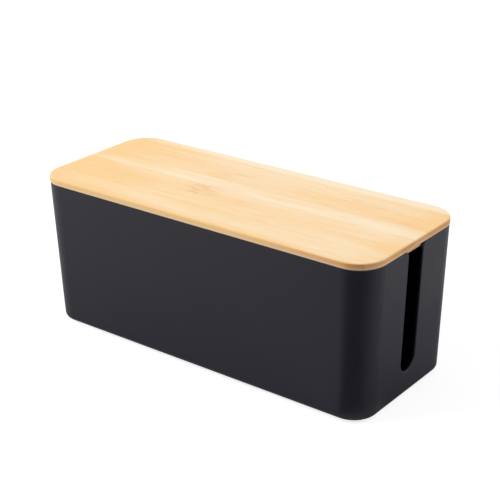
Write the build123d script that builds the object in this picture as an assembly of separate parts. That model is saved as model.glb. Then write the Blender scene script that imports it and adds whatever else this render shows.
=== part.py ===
from build123d import *

import os
from math import radians, tan

# Cable management box: one moulded shell with a cable slot in each end, four
# rubber feet taped into recesses under it, and a lift-off lid glued up from
# two layers of bamboo strips.
#
# Millimetres. +X runs along the box, +Y to its back and +Z up. The origin is
# on the table, under the middle of the box.

# Lid: the board that shows, and the step under it that drops into the shell.
LID_LENGTH = 325.0
LID_WIDTH = 131.0
LID_CORNER_R = 23.5
LID_BOARD_T = 5.4
LID_TOP_EDGE_R = 1.2
LID_LOWER_CHAMFER = 0.5
LID_STEP_DEPTH = 4.7
LID_STEP_CHAMFER = 0.8
LID_FIT_GAP = 0.6

# Bamboo strips: their width, where one joint of each layer lies across the
# lid, and the narrowest strip that is glued in.
STRIP_WIDTH = 18.7
BOARD_JOINT_Y = -3.0
STEP_JOINT_Y = 6.3
NARROWEST_STRIP = 4.0

# Shell: it narrows downwards by the two drafts, and the lid overhangs its rim.
SHELL_HEIGHT = 124.6
LID_OVERHANG = 0.3
END_DRAFT = 2.2
SIDE_DRAFT = 1.4
WALL = 2.5
FLOOR_T = 2.5
BASE_EDGE_R = 4.2
FLOOR_EDGE_R = 2.0
RIM_EDGE_R = 0.8

# Cable slot, open to the rim, in the middle of each end wall.
SLOT_WIDTH = 20.0
SLOT_MOUTH_R = 5.5
SLOT_BOTTOM = 20.5

# Feet, their recesses and the tape that holds them.
FOOT_D = 16.0
FOOT_STAND = 1.5
FOOT_EDGE_R = 0.5
FOOT_END_INSET = 21.0
FOOT_SIDE_INSET = 19.0
RECESS_DEPTH = 1.0
RECESS_GAP = 0.3
TAPE_T = 0.3
TAPE_MARGIN = 0.5

# Moulding gate: a shallow dish under the middle of the floor, and its stub.
GATE_DISH_D = 12.0
GATE_DISH_DEPTH = 0.6
GATE_STUB_D = 3.0
GATE_STUB_H = 0.3

# Heights and sizes that follow from the values above.
SHELL_Z = FOOT_STAND
FLOOR_Z = SHELL_Z + FLOOR_T
RIM_Z = SHELL_Z + SHELL_HEIGHT
RIM_LENGTH = LID_LENGTH - 2 * LID_OVERHANG
RIM_WIDTH = LID_WIDTH - 2 * LID_OVERHANG
RIM_CORNER_R = LID_CORNER_R - LID_OVERHANG
STEP_INSET = WALL + LID_FIT_GAP

# How far a cutter runs past the faces that it opens, and how near two faces
# or normals are to count as one.
OVERCUT = 2.0
NEAR = 0.01


def end_inset(z):
    """How far the end wall's outer face lies inside the rim's at height z."""
    return (RIM_Z - z) * tan(radians(END_DRAFT))


def side_inset(z):
    """How far the side wall's outer face lies inside the rim's at height z."""
    return (RIM_Z - z) * tan(radians(SIDE_DRAFT))


def shell_outline(z, inset):
    """The shell's outline at height z, moved inwards by inset."""
    outline = RectangleRounded(
        RIM_LENGTH - 2 * (end_inset(z) + inset),
        RIM_WIDTH - 2 * (side_inset(z) + inset),
        RIM_CORNER_R - side_inset(z) - inset,
    )
    return Pos(0, 0, z) * outline


def drafted_block(z_low, z_high, inset, edge_r):
    """A block between two outlines, with its lower edge rounded by edge_r."""
    outlines = [shell_outline(z_low, inset), shell_outline(z_high, inset)]
    block = loft(outlines, ruled=True)
    return fillet(block.faces().sort_by(Axis.Z)[0].edges(), edge_r)


def slot_cutter():
    """A bar along X with the slots' outline: round below, flared at the rim."""
    half = SLOT_WIDTH / 2
    lip = half + SLOT_MOUTH_R
    mouth_z = RIM_Z - SLOT_MOUTH_R
    bottom_z = SHELL_Z + SLOT_BOTTOM
    top_z = RIM_Z + OVERCUT
    reach = RIM_LENGTH / 2 + OVERCUT
    outline = (
        ThreePointArc((-half, bottom_z + half), (0, bottom_z), (half, bottom_z + half))
        + Line((half, bottom_z + half), (half, mouth_z))
        + TangentArc((half, mouth_z), (lip, RIM_Z), tangent=(0, 1))
        + Polyline((lip, RIM_Z), (lip, top_z), (-lip, top_z), (-lip, RIM_Z))
        + TangentArc((-half, mouth_z), (-lip, RIM_Z), tangent=(0, 1))
        + Line((-half, mouth_z), (-half, bottom_z + half))
    )
    return extrude(Plane.YZ * make_face(outline), reach, both=True)


def opened_edges(shell):
    """The outer and inner edges of the rim, which run down round each slot."""
    half_way = RIM_LENGTH / 4
    rim = [face for face in shell.faces() if abs(face.center().Z - RIM_Z) < NEAR]
    slots = [
        face
        for face in shell.faces()
        if abs(face.center().X) > half_way
        and abs(face.center().Y) < SLOT_WIDTH
        and abs(face.normal_at().X) < NEAR
        and face not in rim
    ]
    edges = [edge for face in rim + slots for edge in face.edges()]
    return ShapeList(edge for edge in edges if edges.count(edge) == 1)


def foot_places():
    """The name and centre of each foot, inset from the shell's lower corner."""
    x = RIM_LENGTH / 2 - end_inset(SHELL_Z) - FOOT_END_INSET
    y = RIM_WIDTH / 2 - side_inset(SHELL_Z) - FOOT_SIDE_INSET
    return {
        "front_left": (-x, -y),
        "front_right": (x, -y),
        "back_left": (-x, y),
        "back_right": (x, y),
    }


def disc(diameter, z, height):
    """An upright disc on the Z axis, standing on height z."""
    return Pos(0, 0, z) * Cylinder(
        diameter / 2, height, align=(Align.CENTER, Align.CENTER, Align.MIN)
    )


def body_shell():
    """The moulded shell: walls, floor, slots, foot recesses and gate mark."""
    shell = drafted_block(SHELL_Z, RIM_Z, 0, BASE_EDGE_R)
    shell -= drafted_block(FLOOR_Z, RIM_Z + OVERCUT, WALL, FLOOR_EDGE_R)
    shell -= slot_cutter()
    shell = fillet(opened_edges(shell), RIM_EDGE_R)
    recess = disc(FOOT_D + 2 * RECESS_GAP, SHELL_Z - OVERCUT, RECESS_DEPTH + OVERCUT)
    for x, y in foot_places().values():
        shell -= Pos(x, y, 0) * recess
    shell -= disc(GATE_DISH_D, SHELL_Z - OVERCUT, GATE_DISH_DEPTH + OVERCUT)
    stub_z = SHELL_Z + GATE_DISH_DEPTH - GATE_STUB_H
    return shell + disc(GATE_STUB_D, stub_z, GATE_STUB_H)


def foot():
    """One foot on the Z axis, from the table up to its tape."""
    pad = disc(FOOT_D, 0, FOOT_STAND + RECESS_DEPTH - TAPE_T)
    return fillet(pad.edges().sort_by(Axis.Z)[0], FOOT_EDGE_R)


def foot_tape():
    """The tape disc between one foot and the top of its recess."""
    return disc(FOOT_D - 2 * TAPE_MARGIN, SHELL_Z + RECESS_DEPTH - TAPE_T, TAPE_T)


def lid_board():
    """The lid's upper layer, before it is divided into strips."""
    outline = RectangleRounded(LID_LENGTH, LID_WIDTH, LID_CORNER_R)
    board = Pos(0, 0, RIM_Z) * extrude(outline, LID_BOARD_T)
    board = fillet(board.faces().sort_by(Axis.Z)[-1].edges(), LID_TOP_EDGE_R)
    return chamfer(board.faces().sort_by(Axis.Z)[0].edges(), LID_LOWER_CHAMFER)


def lid_step():
    """The lid's lower layer, which sits inside the rim, before it is divided."""
    outline = shell_outline(RIM_Z, STEP_INSET)
    step = extrude(outline, -LID_STEP_DEPTH)
    return chamfer(step.faces().sort_by(Axis.Z)[0].edges(), LID_STEP_CHAMFER)


def strip_joints(width, joint_y):
    """The Y of each joint across a layer of this width, from front to back."""
    limit = width / 2 - NARROWEST_STRIP
    first = joint_y - STRIP_WIDTH * int((joint_y + limit) // STRIP_WIDTH)
    count = int((limit - first) // STRIP_WIDTH) + 1
    return [first + STRIP_WIDTH * index for index in range(count)]


def strips(layer, joint_y):
    """A layer divided along its joints into its strips, from front to back."""
    box = layer.bounding_box()
    joints = strip_joints(box.size.Y, joint_y)
    ends = [box.min.Y - OVERCUT, *joints, box.max.Y + OVERCUT]
    divided = []
    for front, back in zip(ends, ends[1:]):
        slab = Pos(0, (front + back) / 2, box.center().Z) * Box(
            box.size.X + OVERCUT, back - front, box.size.Z + OVERCUT
        )
        divided.append(layer & slab)
    return divided


def sub_parts():
    """Every piece of the box by its name."""
    parts = {"body_shell": body_shell()}
    for place, (x, y) in foot_places().items():
        parts[f"foot_{place}"] = Pos(x, y, 0) * foot()
        parts[f"foot_tape_{place}"] = Pos(x, y, 0) * foot_tape()
    for number, strip in enumerate(strips(lid_board(), BOARD_JOINT_Y), start=1):
        parts[f"lid_top_strip_{number}"] = strip
    for number, strip in enumerate(strips(lid_step(), STEP_JOINT_Y), start=1):
        parts[f"lid_step_strip_{number}"] = strip
    return parts


os.makedirs("parts", exist_ok=True)
for name, part in sub_parts().items():
    part.label = name
    export_step(part, f"parts/{name}.step")
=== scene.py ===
"""Finishes, studio and camera for a cable management box with a bamboo lid."""

from collections import namedtuple
from math import cos, pi, radians, sin
from random import Random

import bpy
from bpy.props import FloatProperty, FloatVectorProperty, PointerProperty
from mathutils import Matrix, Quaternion, Vector


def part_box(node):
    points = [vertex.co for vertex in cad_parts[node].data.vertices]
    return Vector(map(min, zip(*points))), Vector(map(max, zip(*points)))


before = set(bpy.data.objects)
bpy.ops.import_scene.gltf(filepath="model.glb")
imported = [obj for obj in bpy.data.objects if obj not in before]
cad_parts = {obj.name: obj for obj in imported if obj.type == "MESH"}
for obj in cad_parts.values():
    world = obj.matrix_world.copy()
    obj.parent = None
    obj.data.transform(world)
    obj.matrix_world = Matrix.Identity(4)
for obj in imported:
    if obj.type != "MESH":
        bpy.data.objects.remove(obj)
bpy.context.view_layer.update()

bl_info = {
    "name": "Cable management box",
    "version": (1, 0, 0),
    "blender": (4, 5, 0),
    "location": "3D View > Sidebar > Cable box",
    "description": "Finishes and lights a moulded cable box and its bamboo lid",
    "category": "Object",
}

MM = 0.001
MM_PER_M = 1000.0
WHITE = (1.0, 1.0, 1.0, 1.0)
BLACK = (0.0, 0.0, 0.0, 1.0)

# A strip of bamboo. left, middle and right say how amber it is at its left end,
# its middle and its right end, from 0 to 1, and below 0 no part of it is amber.
# cut_end says how brown its cut ends are, from 0 to 1. Each of its knuckles has
# its place along X and its half length, in mm, and a strength from 0 to 1. fade
# says how much less amber the strip is at its back edge than at its front one.
Strip = namedtuple("Strip", "left middle right cut_end knuckles fade", defaults=((), 0.0))
BOARD_STRIPS = (
    Strip(0.84, 0.91, 0.40, 0.95, fade=0.5),
    Strip(0.34, 0.68, 0.30, 0.75, fade=-0.2),
    Strip(0.70, 0.57, 0.47, 0.75, ((50.0, 14.0, 0.18),), fade=-0.2),
    Strip(0.79, 0.56, 0.40, 0.95, ((-27.0, 24.0, 1.0),), fade=0.4),
    Strip(0.39, 0.27, 0.07, 0.80, fade=-0.35),
    Strip(0.62, 0.55, 0.88, 0.85, ((-37.0, 22.0, 0.25),)),
    Strip(0.71, 0.39, 0.69, 0.90),
    Strip(0.09, -0.21, -0.49, 0.70, fade=1.2),
)
# The step's strips come as they fall.
STEP_SEED = 11
STEP_AMBER = (0.35, 0.8)  # the least and most amber that an end is
STEP_CUT_END = 0.7
STEP_KNUCKLE = (9.0, 0.8)  # half length in mm and strength of each strip's one knuckle


def linear(hex_colour):
    """An sRGB hex colour as linear red, green, blue and alpha."""
    channels = [int(hex_colour[at:at + 2], 16) / 255 for at in (1, 3, 5)]
    straight = [c / 12.92 if c <= 0.04045 else ((c + 0.055) / 1.055) ** 2.4 for c in channels]
    return (*straight, 1.0)


def colour(name, description, default_hex):
    """A setting for a colour."""
    return FloatVectorProperty(
        name=name, description=description, default=linear(default_hex),
        size=4, min=0.0, max=1.0, subtype="COLOR",
    )


def length(name, description, default_mm):
    """A setting for a length, which Blender keeps in metres."""
    return FloatProperty(
        name=name, description=description, default=default_mm * MM,
        min=0.0, precision=5, subtype="DISTANCE", unit="LENGTH",
    )


def share(name, description, default):
    """A setting from 0 to 1."""
    return FloatProperty(
        name=name, description=description, default=default, min=0.0, max=1.0, subtype="FACTOR"
    )


def angle(name, description, default_degrees):
    """A setting for an angle, which Blender keeps in radians."""
    return FloatProperty(
        name=name, description=description, default=radians(default_degrees),
        subtype="ANGLE", unit="ROTATION",
    )


def level(name, description, default):
    """A setting for how bright a light is."""
    return FloatProperty(name=name, description=description, default=default, min=0.0)


class ShellFinish(bpy.types.PropertyGroup):
    """Satin black ABS, moulded in a spark-eroded tool."""

    resin: colour("Resin", "Colour of the black ABS", "#090719")
    roughness: share("Roughness", "Satin of the moulded face", 0.40)
    grain: length("Grain", "Width of one dimple of the tool's spark-eroded texture", 0.9)
    grain_depth: length("Grain depth", "Depth of the texture", 0.006)


class BambooFinish(bpy.types.PropertyGroup):
    """Pressed bamboo strips, sanded, the board under a thin matt lacquer."""

    pale: colour("Pale", "Palest bamboo between the fibres", "#F1DDBD")
    amber: colour("Amber", "Bamboo that ripened more", "#EEC589")
    fibre: colour("Fibre", "Fibre bundles cut along their length", "#C98F50")
    knuckle: colour("Knuckle", "Band where the cane had a joint", "#C4752F")
    end_grain: colour("End grain", "Cut ends of the fibres, which drink more lacquer", "#D19150")
    pith: colour("Pith", "Soft pith side of a strip, underneath", "#E8D1BC")
    glue: colour("Glue", "Glue line between two strips", "#B98A55")
    fibre_width: length("Fibre width", "Width of one fibre bundle", 0.8)
    fibre_length: length("Fibre length", "Length over which a bundle shows", 55.0)
    streak_width: length("Streak width", "Width of the slow changes of tone across a strip", 4.5)
    dash_length: length("Dash length", "Length of the riper dashes", 24.0)
    glue_width: length("Glue width", "Width of a glue line", 0.5)
    end_reach: length("End reach", "How far a cut end's brown runs in along the side", 120.0)
    pale_end: share("Pale end", "Brown of the left cut ends, as a share of the right ones", 0.2)
    yellowing: share("Yellowing", "How much more amber the board is at its left end", 0.35)
    roughness: share("Roughness", "Matt lacquer over the fibres", 0.46)


class FootFinish(bpy.types.PropertyGroup):
    """Moulded rubber feet and the foam tape that holds them."""

    rubber: colour("Rubber", "Colour of the rubber feet", "#1B1B1C")
    foam: colour("Foam", "Colour of the tape's foam", "#DAD7CF")
    rubber_grain: length("Rubber grain", "Width of the rubber's matt texture", 0.5)
    foam_cell: length("Foam cell", "Width of one cell of the foam", 0.35)


class Studio(bpy.types.PropertyGroup):
    """Camera, white room, softboxes and black card."""

    azimuth: angle("Azimuth", "Angle of the camera round the box", 38.322)
    elevation: angle("Elevation", "Angle of the camera above the table", 24.645)
    distance: length("Distance", "Camera to the aim point", 1039.9)
    aim_height: length("Aim height", "Height of the aim point above the table", 58.65)
    lens: FloatProperty(
        name="Lens", description="Focal length in mm on a 36 mm sensor", default=91.47,
        min=1.0, subtype="DISTANCE_CAMERA", unit="CAMERA",
    )
    yaw: angle("Yaw", "Turn of the camera off the aim point", -0.381)
    pitch: angle("Pitch", "Tilt of the camera off the aim point", 1.15)
    roll: angle("Roll", "Roll of the camera", 0.999)
    sky: level("Sky", "Light from the white room", 0.397)
    lamp_elevation: angle("Lamp elevation", "Angle of both softboxes above the table", 35.0)
    left_azimuth: angle("Left azimuth", "Angle of the left softbox round the box", -55.0)
    left_light: level("Left softbox", "Level on a face square to it", 0.93)
    right_azimuth: angle("Right azimuth", "Angle of the right softbox round the box", 128.0)
    right_light: level("Right softbox", "Level on a face square to it", 0.50)
    card_depth: share("Card depth", "How dark the black card looks at its middle", 0.75)


def add(tree, kind, inputs=(), **settings):
    """Adds a node with its settings and links.

    The inputs go by name or number, or in a row in the node's own order. Each is
    a value, a socket, or a node, which gives its first live output.
    """
    node = tree.nodes.new(kind)
    for name, value in settings.items():
        setattr(node, name, value)
    for key, value in inputs.items() if isinstance(inputs, dict) else enumerate(inputs):
        if isinstance(key, int):
            socket = node.inputs[key]
        else:
            socket = next(s for s in node.inputs if s.enabled and s.name == key)
        if isinstance(value, bpy.types.Node):
            value = next(s for s in value.outputs if s.enabled)
        if isinstance(value, bpy.types.NodeSocket):
            tree.links.new(value, socket)
        else:
            socket.default_value = value
    return node


def new_material(name):
    """An empty material and its node tree."""
    material = bpy.data.materials.new(name)
    material.use_nodes = True
    material.node_tree.nodes.clear()
    return material, material.node_tree


def paint(node_name, material):
    """Gives a node of the frame its material in every slot."""
    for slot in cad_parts[node_name].material_slots:
        slot.material = material


def nodes_named(start):
    """The frame's nodes whose names start so, in order."""
    return sorted(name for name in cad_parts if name.startswith(start))


# ABS. A rise is the two values of a noise at which something starts and is full.
ABS_IOR = 1.53
ABS_PATCH = 45 * MM  # size of one patch of the slow drift in gloss
ABS_DRIFT_RISE = (0.3, 0.7)
ABS_DRIFT = 0.03  # how far the roughness drifts either way


def moulded_abs(finish):
    """ABS moulded in a spark-eroded tool."""
    # To the eye: a deep black with a soft, even satin. The black takes no light
    # of its own, so what shows is the white room in the satin. Fine dimples blur
    # it, and the gloss drifts a little where the melt cooled at other rates. The
    # dimples are drawn about three times their real width, to show.
    material, tree = new_material("Moulded black ABS")
    place = add(tree, "ShaderNodeTexCoord").outputs["Object"]
    dimples = add(
        tree, "ShaderNodeTexNoise", {"Vector": place, "Scale": 1 / finish.grain, "Detail": 2.0}
    )
    drift = add(
        tree, "ShaderNodeTexNoise", {"Vector": place, "Scale": 1 / ABS_PATCH, "Detail": 3.0}
    )
    glossiest, dullest = finish.roughness - ABS_DRIFT, finish.roughness + ABS_DRIFT
    gloss = add(tree, "ShaderNodeMapRange", (drift, *ABS_DRIFT_RISE, glossiest, dullest))
    bump = add(
        tree, "ShaderNodeBump",
        {"Strength": 1.0, "Distance": finish.grain_depth, "Height": dimples},
    )
    shader = add(
        tree, "ShaderNodeBsdfPrincipled",
        {"Base Color": finish.resin, "IOR": ABS_IOR, "Roughness": gloss, "Normal": bump},
    )
    add(tree, "ShaderNodeOutputMaterial", {"Surface": shader})
    return material


# Bamboo: its noises.
STRIP_SHIFT = Vector((61.0, 17.0, 29.0))  # mm from strip to strip, so that no two are alike
BEND_SIZE = (130.0, 26.0, 26.0)  # mm, the size of one bend of the grain
BEND_SWAY = (0.0, 5.0, 1.5)  # mm, how far a bend carries the grain
STREAK_LENGTH = 120 * MM
DRIFT_LENGTH = 90 * MM
DRIFT_WIDTH = 15 * MM
DASH_WIDTH = 0.6  # as a share of a streak's width
SPECKLE_LENGTH = 18 * MM
SPECKLE_WIDTH = 2.2 * MM

# Its tone, from pale at 0 to amber at 1.
STREAK_TONE = 0.55  # how much the streaks change it in all
DRIFT_TONE = 0.9  # how much the slow drift changes it in all
DASH_TONE = 0.45  # what a riper dash adds
DASH_RISE = (0.56, 0.78)
YELLOWING_START = 120.0  # mm from the left end
YELLOWING_FULL = 20.0  # mm from the left end
END_TONE = 0.35  # what the very end of a strip adds
END_RIPENS = 35.0  # mm from each end, where that starts

# What lies over its tone. A tint is how much of its own colour a thing shows.
FIBRE_TINT = 0.22
FIBRE_RISE = (0.54, 0.78)
GLUE_TINT = 0.2
PITH_TINT = 0.6
WOOD_DEPTH = 2.5  # mm of wood above the pith
KNUCKLE_WANDER = (0.35, 0.65, -3.0, 3.0)  # two streak values, and mm its edge is off at each
KNUCKLE_BREAKS = (0.42, 0.68, 0.05, 0.5)  # two speckle values, and how much shows at each
SIDE_FACES = (0.8, 0.2)  # how level a face is where it starts to be a side, and fully is
CUT_FACES = (0.0, 0.25)  # how far a face looks along X where it starts to be an end, and fully is

# Its lacquer.
LACQUER_IOR = 1.5
LACQUER_SPREAD = 0.08  # how far the roughness goes either way over the fibres
FIBRE_DEPTH = 0.03 * MM  # how deep the fibres still feel through it

Grain = namedtuple("Grain", "fibres streaks drift dashes speckle")


def strip_grain(tree, place, seed, finish):
    """The noises along a strip's bending grain."""
    own = add(tree, "ShaderNodeVectorMath", (place, STRIP_SHIFT * seed), operation="ADD")
    slow = add(tree, "ShaderNodeVectorMath", (own, BEND_SIZE), operation="DIVIDE")
    bend = add(tree, "ShaderNodeTexNoise", {"Vector": slow, "Scale": 1.0, "Detail": 1.0})
    sway = add(
        tree, "ShaderNodeVectorMath", (bend.outputs["Color"], BEND_SWAY), operation="MULTIPLY"
    )
    bent = add(tree, "ShaderNodeVectorMath", (own, sway), operation="ADD")
    noises = []
    for along, across, detail in (
        (finish.fibre_length, finish.fibre_width, 2.0),
        (STREAK_LENGTH, finish.streak_width, 2.0),
        (DRIFT_LENGTH, DRIFT_WIDTH, 2.0),
        (finish.dash_length, finish.streak_width * DASH_WIDTH, 1.0),
        (SPECKLE_LENGTH, SPECKLE_WIDTH, 2.0),
    ):
        size = Vector((along, across, across)) * MM_PER_M
        scaled = add(tree, "ShaderNodeVectorMath", (bent, size), operation="DIVIDE")
        noises.append(add(
            tree, "ShaderNodeTexNoise", {"Vector": scaled, "Scale": 1.0, "Detail": detail}
        ))
    return Grain(*noises)


def strip_tone(tree, x, y, low, high, grain, strip, finish):
    """A strip's tone, from pale at 0 to amber at 1."""
    middle = (low.x + high.x) / 2
    off_middle = add(tree, "ShaderNodeMath", (x,), operation="ABSOLUTE")
    yellowing_start, yellowing_full = low.x + YELLOWING_START, low.x + YELLOWING_FULL
    tone = 0.0
    # Each row is a value, its two ends, what it adds at each, and how it goes
    # from one to the other.
    for value, start, stop, at_start, at_stop, easing in (
        (x, low.x, middle, strip.left, strip.middle, "LINEAR"),
        (x, middle, high.x, 0.0, strip.right - strip.middle, "LINEAR"),
        (y, low.y, high.y, strip.fade / 2, -strip.fade / 2, "LINEAR"),
        (grain.streaks, 0.0, 1.0, -STREAK_TONE / 2, STREAK_TONE / 2, "LINEAR"),
        (grain.drift, 0.0, 1.0, -DRIFT_TONE / 2, DRIFT_TONE / 2, "LINEAR"),
        (grain.dashes, *DASH_RISE, 0.0, DASH_TONE, "SMOOTHSTEP"),
        (x, yellowing_start, yellowing_full, 0.0, finish.yellowing, "SMOOTHSTEP"),
        (off_middle, high.x - END_RIPENS, high.x, 0.0, END_TONE, "SMOOTHSTEP"),
    ):
        part = add(
            tree, "ShaderNodeMapRange", (value, start, stop, at_start, at_stop),
            interpolation_type=easing,
        )
        tone = add(tree, "ShaderNodeMath", (tone, part), operation="ADD")
    tone.use_clamp = True
    return tone


def knuckle_band(tree, x, grain, knuckle):
    """How much of a cane joint's brown shows."""
    centre, half_length, strength = knuckle
    away = add(tree, "ShaderNodeMath", (x, centre), operation="SUBTRACT")
    wander = add(
        tree, "ShaderNodeMapRange", (grain.streaks, *KNUCKLE_WANDER),
        interpolation_type="SMOOTHSTEP",
    )
    away = add(tree, "ShaderNodeMath", (away, wander), operation="ADD")
    away = add(tree, "ShaderNodeMath", (away,), operation="ABSOLUTE")
    band = add(
        tree, "ShaderNodeMapRange", (away, half_length, 0.0, 0.0, strength),
        interpolation_type="SMOOTHSTEP",
    )
    breaks = add(
        tree, "ShaderNodeMapRange", (grain.speckle, *KNUCKLE_BREAKS),
        interpolation_type="SMOOTHSTEP",
    )
    return add(tree, "ShaderNodeMath", (band, breaks), operation="MULTIPLY")


def glue_line(tree, y, joint, finish):
    """How much of the glue shows at a joint."""
    away = add(tree, "ShaderNodeMath", (y, joint), operation="SUBTRACT")
    away = add(tree, "ShaderNodeMath", (away,), operation="ABSOLUTE")
    return add(
        tree, "ShaderNodeMapRange",
        (away, finish.glue_width * MM_PER_M, 0.0, 0.0, GLUE_TINT),
        interpolation_type="SMOOTHSTEP",
    )


def side_tints(tree, normal, x, z, low, high, strip, finish):
    """How much of the end grain's brown, and how much of the pith, shows on a strip's sides."""
    facing = add(tree, "ShaderNodeSeparateXYZ", (normal,)).outputs
    levelness = add(tree, "ShaderNodeMath", (facing["Z"],), operation="ABSOLUTE")
    side = add(
        tree, "ShaderNodeMapRange", (levelness, *SIDE_FACES, 0.0, 1.0),
        interpolation_type="SMOOTHSTEP",
    )
    endness = add(tree, "ShaderNodeMath", (facing["X"],), operation="ABSOLUTE")
    cut = add(
        tree, "ShaderNodeMapRange", (endness, *CUT_FACES, 0.0, 1.0),
        interpolation_type="SMOOTHSTEP",
    )
    reach = high.x - finish.end_reach * MM_PER_M
    near_end = add(tree, "ShaderNodeMapRange", (x, reach, high.x, 0.0, 1.0))
    left_brown = finish.pale_end * strip.cut_end
    brown = add(tree, "ShaderNodeMapRange", (x, low.x, high.x, left_brown, strip.cut_end))
    end = add(tree, "ShaderNodeMath", (cut, near_end), operation="MAXIMUM")
    for limit in (side, brown):
        end = add(tree, "ShaderNodeMath", (end, limit), operation="MULTIPLY")
    pith = add(
        tree, "ShaderNodeMapRange", (z, high.z - WOOD_DEPTH, low.z, 0.0, PITH_TINT),
        interpolation_type="SMOOTHSTEP",
    )
    return end, add(tree, "ShaderNodeMath", (pith, side), operation="MULTIPLY")


def bamboo_strip(name, node_name, strip, seed, finish, joints):
    """A pressed bamboo strip, sanded and lacquered, with its glue lines at joints, in mm."""
    # To the eye: long fibre bundles give fine brown lines along the strip and
    # dots on its ends, drawn about twice as wide as real ones, to show. Its tone
    # drifts slowly along and across it, with soft riper dashes. A cane joint is a
    # faint brown band, the cut ends drink more lacquer and turn brown, and the
    # strip is palest at its lower, pith side.
    material, tree = new_material(name)
    low, high = (corner * MM_PER_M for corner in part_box(node_name))
    coordinates = add(tree, "ShaderNodeTexCoord").outputs
    place = add(
        tree, "ShaderNodeVectorMath",
        {0: coordinates["Object"], "Scale": MM_PER_M}, operation="SCALE",
    )
    x, y, z = add(tree, "ShaderNodeSeparateXYZ", (place,)).outputs
    grain = strip_grain(tree, place, seed, finish)
    fibre_lines = add(
        tree, "ShaderNodeMapRange", (grain.fibres, *FIBRE_RISE, 0.0, FIBRE_TINT),
        interpolation_type="SMOOTHSTEP",
    )
    end, pith = side_tints(tree, coordinates["Normal"], x, z, low, high, strip, finish)
    surface = finish.pale
    for amount, tint in (
        (strip_tone(tree, x, y, low, high, grain, strip, finish), finish.amber),
        (fibre_lines, finish.fibre),
        *((knuckle_band(tree, x, grain, knuckle), finish.knuckle) for knuckle in strip.knuckles),
        *((glue_line(tree, y, joint, finish), finish.glue) for joint in joints),
        (end, finish.end_grain),
        (pith, finish.pith),
    ):
        surface = add(
            tree, "ShaderNodeMix", {"Factor": amount, "A": surface, "B": tint}, data_type="RGBA"
        )
    glossiest, dullest = finish.roughness - LACQUER_SPREAD, finish.roughness + LACQUER_SPREAD
    gloss = add(tree, "ShaderNodeMapRange", (grain.fibres, 0.0, 1.0, glossiest, dullest))
    bump = add(
        tree, "ShaderNodeBump",
        {"Strength": 1.0, "Distance": FIBRE_DEPTH, "Height": grain.fibres},
    )
    shader = add(
        tree, "ShaderNodeBsdfPrincipled",
        {"Base Color": surface, "IOR": LACQUER_IOR, "Roughness": gloss, "Normal": bump},
    )
    add(tree, "ShaderNodeOutputMaterial", {"Surface": shader})
    return material


# Rubber and foam.
RUBBER_IOR = 1.52
RUBBER_ROUGHNESS = (0.65, 0.85)  # between the grain's lowest and highest points
RUBBER_DEPTH = 0.02 * MM  # depth of the grain
FOAM_IOR = 1.5
FOAM_ROUGHNESS = 0.9
FOAM_DEPTH = 0.05 * MM  # depth of a cell
FOAM_RIM = 0.8  # how light a cell's rim is beside its middle


def moulded_rubber(finish):
    """Moulded rubber."""
    # To the eye: a dark grey that scatters what little gloss it has. Its fine
    # grain is drawn several times its real width, to show.
    material, tree = new_material("Moulded rubber")
    place = add(tree, "ShaderNodeTexCoord").outputs["Object"]
    grain = add(
        tree, "ShaderNodeTexNoise",
        {"Vector": place, "Scale": 1 / finish.rubber_grain, "Detail": 3.0},
    )
    bump = add(
        tree, "ShaderNodeBump", {"Strength": 1.0, "Distance": RUBBER_DEPTH, "Height": grain}
    )
    gloss = add(tree, "ShaderNodeMapRange", (grain, 0.0, 1.0, *RUBBER_ROUGHNESS))
    shader = add(
        tree, "ShaderNodeBsdfPrincipled",
        {"Base Color": finish.rubber, "IOR": RUBBER_IOR, "Roughness": gloss, "Normal": bump},
    )
    add(tree, "ShaderNodeOutputMaterial", {"Surface": shader})
    return material


def foam_tape(finish):
    """Polyethylene foam tape, die-cut."""
    # To the eye: a chalky grey-white with open cells at its cut edge.
    material, tree = new_material("Foam tape")
    place = add(tree, "ShaderNodeTexCoord").outputs["Object"]
    cells = add(
        tree, "ShaderNodeTexVoronoi", {"Vector": place, "Scale": 1 / finish.foam_cell}
    ).outputs["Distance"]
    shade = add(tree, "ShaderNodeMapRange", (cells, 0.0, 1.0, 1.0, FOAM_RIM))
    tint = add(
        tree, "ShaderNodeMix", {"Factor": 1.0, "A": finish.foam, "B": shade},
        data_type="RGBA", blend_type="MULTIPLY",
    )
    bump = add(
        tree, "ShaderNodeBump", {"Strength": 1.0, "Distance": FOAM_DEPTH, "Height": cells}
    )
    shader = add(
        tree, "ShaderNodeBsdfPrincipled",
        {"Base Color": tint, "IOR": FOAM_IOR, "Roughness": FOAM_ROUGHNESS, "Normal": bump},
    )
    add(tree, "ShaderNodeOutputMaterial", {"Surface": shader})
    return material


class CABLE_BOX_OT_mould_shell(bpy.types.Operator):
    """Give the shell its moulded black ABS."""

    bl_idname = "cable_box.mould_shell"
    bl_label = "Mould the shell"

    def execute(self, context):
        paint("body_shell", moulded_abs(context.scene.cable_box_shell))
        return {"FINISHED"}


def glue_up(layer, label, strips, finish):
    """Gives each strip of a layer its own bamboo, with a glue line at each joint."""
    names = nodes_named(layer)
    joints = [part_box(name)[0].y * MM_PER_M for name in names[1:]]
    for index, name in enumerate(names):
        near = joints[max(index - 1, 0):index + 1]
        strip = strips[index % len(strips)]
        number = index + 1
        paint(name, bamboo_strip(f"{label} {number}", name, strip, number, finish, near))


class CABLE_BOX_OT_glue_board(bpy.types.Operator):
    """Give the lid's upper strips their lacquered bamboo."""

    bl_idname = "cable_box.glue_board"
    bl_label = "Glue up the board"

    def execute(self, context):
        finish = context.scene.cable_box_bamboo
        glue_up("lid_top_strip_", "Lacquered bamboo strip", BOARD_STRIPS, finish)
        return {"FINISHED"}


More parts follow.
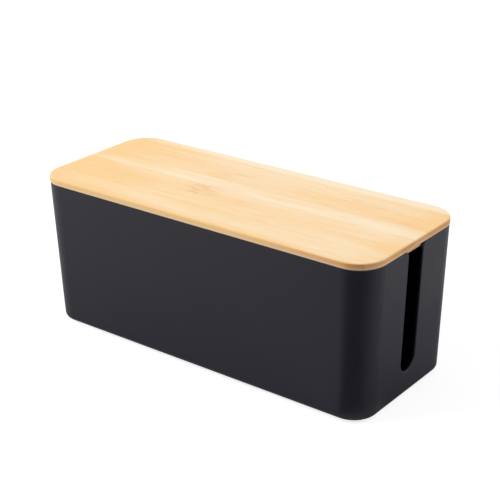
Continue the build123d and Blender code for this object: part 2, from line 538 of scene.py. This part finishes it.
class CABLE_BOX_OT_glue_step(bpy.types.Operator):
    """Give the lid's lower strips their sanded bamboo."""

    bl_idname = "cable_box.glue_step"
    bl_label = "Glue up the step"

    def execute(self, context):
        rng = Random(STEP_SEED)
        low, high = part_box("lid_step_strip_2")
        strips = []
        for _ in nodes_named("lid_step_strip_"):
            left, right = rng.uniform(*STEP_AMBER), rng.uniform(*STEP_AMBER)
            knuckle = (rng.uniform(low.x, high.x) * MM_PER_M, *STEP_KNUCKLE)
            strips.append(Strip(left, (left + right) / 2, right, STEP_CUT_END, (knuckle,)))
        finish = context.scene.cable_box_bamboo
        glue_up("lid_step_strip_", "Sanded bamboo strip", strips, finish)
        return {"FINISHED"}


class CABLE_BOX_OT_fit_feet(bpy.types.Operator):
    """Give the feet their rubber and the discs behind them their foam tape."""

    bl_idname = "cable_box.fit_feet"
    bl_label = "Fit the feet"

    def execute(self, context):
        finish = context.scene.cable_box_feet
        rubber = moulded_rubber(finish)
        foam = foam_tape(finish)
        for name in nodes_named("foot_"):
            paint(name, foam if name.startswith("foot_tape_") else rubber)
        return {"FINISHED"}


def direction(azimuth, elevation=0.0):
    """A unit vector that far round from the box's front, and that far up."""
    return Vector(
        (sin(azimuth) * cos(elevation), -cos(azimuth) * cos(elevation), sin(elevation))
    )


SENSOR_WIDTH = 36.0  # mm, the sensor that the lens is stated for


def aim_camera(studio):
    """Puts the camera round the box and turns it by its small offsets from the aim point."""
    back = direction(studio.azimuth, studio.elevation)
    data = bpy.data.cameras.new("Camera")
    data.lens = studio.lens
    data.sensor_width = SENSOR_WIDTH
    camera = bpy.data.objects.new("Camera", data)
    bpy.context.collection.objects.link(camera)
    camera.location = back * studio.distance + Vector((0, 0, studio.aim_height))
    camera.rotation_mode = "QUATERNION"
    camera.rotation_quaternion = (
        (-back).to_track_quat("-Z", "Y")
        @ Quaternion((0, 1, 0), studio.yaw)
        @ Quaternion((1, 0, 0), studio.pitch)
        @ Quaternion((0, 0, 1), -studio.roll)
    )
    bpy.context.scene.camera = camera


# The floor. Its sizes are in metres, and its greys are from 0 to 1.
FLOOR_HALF = 6.0  # half its side
FLOOR_DROP = 0.0001  # how far under the feet it lies
FLOOR_FADE = (0.5, 2.0)  # distances from the middle between which its glow grows
FLOOR_GLOW = (0.78, 0.88)  # its glow to the eye within the first and past the second
FLOOR_SHADE = 0.35  # its grey to the eye, under the glow: more gives a deeper shadow
FLOOR_BOUNCE = 0.5  # its grey as light on the box
FLOOR_IN_GLOSS = 0.56  # its grey in the box's gloss


def lay_floor():
    """A white floor. The camera and clear things see it white, with the box's shadow on it."""
    mesh = bpy.data.meshes.new("floor")
    corners = [
        (x * FLOOR_HALF, y * FLOOR_HALF, -FLOOR_DROP)
        for x, y in ((-1, -1), (1, -1), (1, 1), (-1, 1))
    ]
    mesh.from_pydata(corners, [], [(0, 1, 2, 3)])
    floor = bpy.data.objects.new("floor", mesh)
    bpy.context.collection.objects.link(floor)
    material, tree = new_material("White floor")
    ray = add(tree, "ShaderNodeLightPath").outputs
    seen = add(
        tree, "ShaderNodeMath", (ray["Is Camera Ray"], ray["Is Transmission Ray"]),
        operation="MAXIMUM",
    )
    shade, plain, mirrored = (
        add(tree, "ShaderNodeBsdfDiffuse", {"Color": (grey, grey, grey, 1.0)})
        for grey in (FLOOR_SHADE, FLOOR_BOUNCE, FLOOR_IN_GLOSS)
    )
    place = add(tree, "ShaderNodeTexCoord").outputs["Object"]
    away = add(tree, "ShaderNodeVectorMath", (place,), operation="LENGTH")
    strength = add(tree, "ShaderNodeMapRange", (away, *FLOOR_FADE, *FLOOR_GLOW))
    glow = add(tree, "ShaderNodeEmission", {"Color": WHITE, "Strength": strength})
    white = add(tree, "ShaderNodeAddShader", (shade, glow))
    bounce = add(tree, "ShaderNodeMixShader", (ray["Is Glossy Ray"], plain, mirrored))
    shader = add(tree, "ShaderNodeMixShader", (seen, bounce, white))
    add(tree, "ShaderNodeOutputMaterial", {"Surface": shader})
    mesh.materials.append(material)


def paint_room(studio):
    """A white room: full white to the eye, in gloss and through clear things, dimmer as light."""
    world = bpy.data.worlds.new("White room")
    world.use_nodes = True
    tree = world.node_tree
    tree.nodes.clear()
    ray = add(tree, "ShaderNodeLightPath").outputs
    seen = ray["Is Camera Ray"]
    for kind in ("Is Glossy Ray", "Is Transmission Ray"):
        seen = add(tree, "ShaderNodeMath", (seen, ray[kind]), operation="MAXIMUM")
    strength = add(tree, "ShaderNodeMapRange", (seen, 0.0, 1.0, studio.sky, 1.0))
    room = add(tree, "ShaderNodeBackground", {"Color": WHITE, "Strength": strength})
    add(tree, "ShaderNodeOutputWorld", {"Surface": room})
    bpy.context.scene.world = world


LAMP_DISTANCE = 3.0  # metres from the origin
SOFTBOX_SIDE = 1.9  # metres


def hang_softbox(name, azimuth, elevation, brightness):
    """A square softbox. A white face that looks at it from the box has that brightness."""
    data = bpy.data.lights.new(name, "AREA")
    data.shape = "SQUARE"
    data.size = SOFTBOX_SIDE
    # At a distance d, a lamp of P watts lights a white face to P / (pi * d) ** 2.
    data.energy = brightness * (pi * LAMP_DISTANCE) ** 2
    lamp = bpy.data.objects.new(name, data)
    bpy.context.collection.objects.link(lamp)
    towards = direction(azimuth, elevation)
    lamp.location = towards * LAMP_DISTANCE
    lamp.rotation_mode = "QUATERNION"
    lamp.rotation_quaternion = (-towards).to_track_quat("-Z", "Y")
    lamp.visible_glossy = False


# The black card, part of a flat ring. Its sizes are in metres, and its angles are
# in degrees round its centre from the front.
CARD_INSET = 0.023  # its centre, in from the shell's front and right end
CARD_HEIGHT = 0.001
CARD_RADII = (0.03, 2.5)
CARD_ARC = (-26, 166)
CARD_FACET = 2  # angle between two spokes of its mesh
CARD_COMES_IN = (-26, -8)  # angles between which its black comes in
CARD_GOES_OUT = (52, 118)  # angles between which it goes out again
CARD_LEFT_OVER = 0.42  # how much of it is left past there, close to the corner
CARD_FALLS = (0.05, 0.13)  # distances from the centre between which that is lost


def lay_card(studio):
    """A black card on the table before the near corner, seen only in gloss.

    It draws that corner of the shell dark.
    """
    low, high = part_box("body_shell")
    centre = Vector((high.x - CARD_INSET, low.y + CARD_INSET, CARD_HEIGHT))
    start, stop = CARD_ARC
    ring = [direction(radians(turn)) for turn in range(start, stop + 1, CARD_FACET)]
    points = [centre + radius * spoke for radius in CARD_RADII for spoke in ring]
    count = len(ring)
    faces = [(i, i + 1, count + i + 1, count + i) for i in range(count - 1)]
    mesh = bpy.data.meshes.new("black_card")
    mesh.from_pydata(points, [], faces)
    card = bpy.data.objects.new("black_card", mesh)
    bpy.context.collection.objects.link(card)
    for ray in ("camera", "diffuse", "transmission", "volume_scatter", "shadow"):
        setattr(card, "visible_" + ray, False)
    material, tree = new_material("Black card")
    place = add(tree, "ShaderNodeTexCoord").outputs["Object"]
    offset = add(tree, "ShaderNodeVectorMath", (place, centre), operation="SUBTRACT")
    away = add(tree, "ShaderNodeVectorMath", (offset,), operation="LENGTH")
    x, y, _ = add(tree, "ShaderNodeSeparateXYZ", (offset,)).outputs
    forward = add(tree, "ShaderNodeMath", (y, -1.0), operation="MULTIPLY")
    turn = add(tree, "ShaderNodeMath", (x, forward), operation="ARCTAN2")
    comes_in = add(
        tree, "ShaderNodeMapRange", (turn, *map(radians, CARD_COMES_IN), 0.0, 1.0),
        interpolation_type="SMOOTHSTEP",
    )
    black_left = add(
        tree, "ShaderNodeMapRange", (turn, *map(radians, CARD_GOES_OUT), 1.0, 0.0)
    )
    left_over = add(tree, "ShaderNodeMapRange", (away, *CARD_FALLS, CARD_LEFT_OVER, 0.0))
    cover = add(tree, "ShaderNodeMath", (black_left, left_over), operation="MAXIMUM")
    for limit in (comes_in, studio.card_depth):
        cover = add(tree, "ShaderNodeMath", (cover, limit), operation="MULTIPLY")
    clear = add(tree, "ShaderNodeBsdfTransparent")
    black = add(tree, "ShaderNodeBsdfDiffuse", {"Color": BLACK})
    shader = add(tree, "ShaderNodeMixShader", (cover, clear, black))
    add(tree, "ShaderNodeOutputMaterial", {"Surface": shader})
    mesh.materials.append(material)


class CABLE_BOX_OT_set_stage(bpy.types.Operator):
    """Set the camera, floor, white room, softboxes and black card."""

    bl_idname = "cable_box.set_stage"
    bl_label = "Set the stage"

    def execute(self, context):
        studio = context.scene.cable_box_studio
        elevation = studio.lamp_elevation
        context.scene.view_settings.view_transform = "Standard"
        aim_camera(studio)
        lay_floor()
        paint_room(studio)
        hang_softbox("Left softbox", studio.left_azimuth, elevation, studio.left_light)
        hang_softbox("Right softbox", studio.right_azimuth, elevation, studio.right_light)
        lay_card(studio)
        return {"FINISHED"}


class CABLE_BOX_PT_panel(bpy.types.Panel):
    """Sidebar panel with each step of the box and its settings."""

    bl_idname = "CABLE_BOX_PT_panel"
    bl_label = "Cable box"
    bl_space_type = "VIEW_3D"
    bl_region_type = "UI"
    bl_category = "Cable box"

    def draw(self, context):
        for operators, group in STEPS:
            box = self.layout.box()
            for operator in operators:
                box.operator(operator.bl_idname)
            settings = getattr(context.scene, group)
            for name in settings.__annotations__:
                box.prop(settings, name)


STEPS = (
    ((CABLE_BOX_OT_mould_shell,), "cable_box_shell"),
    ((CABLE_BOX_OT_glue_board, CABLE_BOX_OT_glue_step), "cable_box_bamboo"),
    ((CABLE_BOX_OT_fit_feet,), "cable_box_feet"),
    ((CABLE_BOX_OT_set_stage,), "cable_box_studio"),
)
GROUPS = {
    "cable_box_shell": ShellFinish,
    "cable_box_bamboo": BambooFinish,
    "cable_box_feet": FootFinish,
    "cable_box_studio": Studio,
}
CLASSES = (
    *GROUPS.values(),
    *(operator for operators, _ in STEPS for operator in operators),
    CABLE_BOX_PT_panel,
)


def register():
    """Adds the classes and gives the scene its groups of settings."""
    for item in CLASSES:
        bpy.utils.register_class(item)
    for name, group in GROUPS.items():
        setattr(bpy.types.Scene, name, PointerProperty(type=group))


def unregister():
    """Takes the settings and the classes away again."""
    for name in GROUPS:
        delattr(bpy.types.Scene, name)
    for item in reversed(CLASSES):
        bpy.utils.unregister_class(item)


def main():
    """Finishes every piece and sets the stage."""
    register()
    bpy.ops.cable_box.mould_shell()
    bpy.ops.cable_box.glue_board()
    bpy.ops.cable_box.glue_step()
    bpy.ops.cable_box.fit_feet()
    bpy.ops.cable_box.set_stage()


if __name__ == "__main__":
    main()
